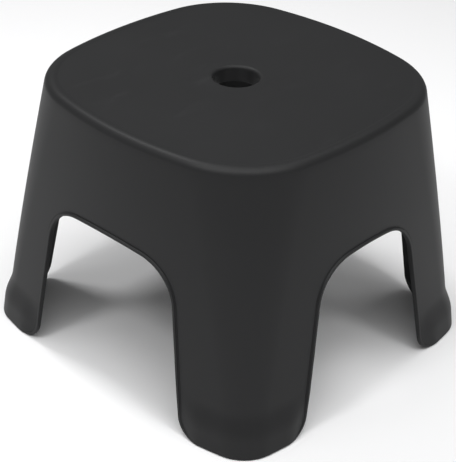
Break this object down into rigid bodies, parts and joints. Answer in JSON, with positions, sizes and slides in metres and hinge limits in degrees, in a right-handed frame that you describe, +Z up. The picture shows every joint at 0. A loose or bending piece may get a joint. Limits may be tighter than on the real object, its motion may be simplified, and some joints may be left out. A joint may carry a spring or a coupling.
{
  "type": "step stool",
  "caption": "Low one-piece step stool: bowed square seat with a finger hole, leaning walls cut by arches into legs with stepped-out feet and non-slip pads.",
  "frame": {"origin": "centre of the foot pads' contact plane, on the floor under the middle of the seat", "axes": "+X along the slightly longer side of the base, +Y to the rear, +Z up through the centre hole"},
  "size_m": [0.3126, 0.2946, 0.23],
  "materials": {
    "shell": "charcoal moulded polypropylene with a fine satin texture",
    "pad": "matt black thermoplastic rubber"
  },
  "bodies": {
    "root": {"stool_shell": "shell", "foot_pad_front_left": "pad", "foot_pad_front_right": "pad", "foot_pad_rear_left": "pad", "foot_pad_rear_right": "pad"}
  },
  "joints": []
}
